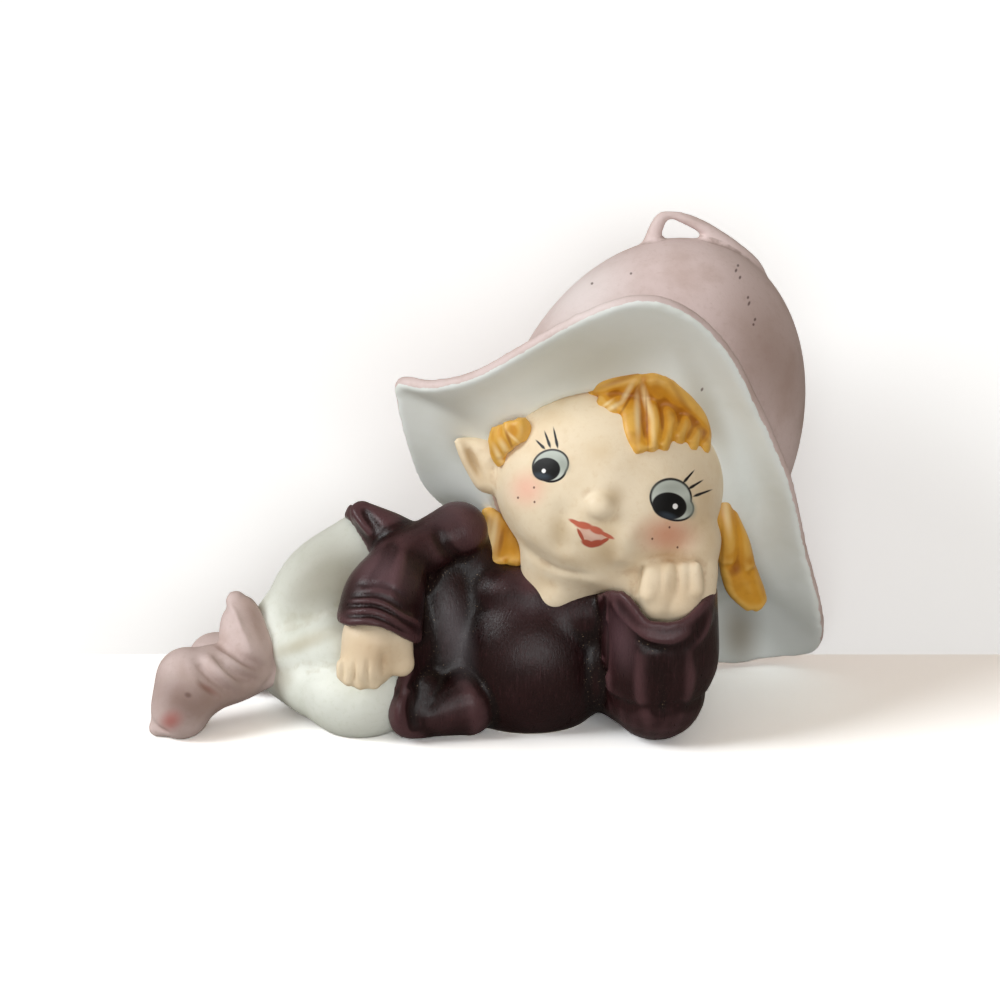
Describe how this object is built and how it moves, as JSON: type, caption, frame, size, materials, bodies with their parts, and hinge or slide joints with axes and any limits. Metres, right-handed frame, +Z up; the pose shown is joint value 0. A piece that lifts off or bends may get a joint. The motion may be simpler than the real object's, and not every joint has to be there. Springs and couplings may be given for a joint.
{
  "type": "elf figurine",
  "caption": "Porcelain pixie lying on one side, chin propped on a fist, in a floppy wide-brimmed hat with a curled tip and pointed boots.",
  "frame": {"origin": "on the flat underside of the tunic, at table height", "axes": "+Z up from the table, +X along the body from the boots to the hat, -Y the way the face looks"},
  "size_m": [0.1021, 0.0526, 0.0739],
  "materials": {
    "bisque": "unglazed bisque porcelain, hand painted matt"
  },
  "bodies": {
    "root": {"elf_figurine": "bisque"}
  },
  "joints": []
}
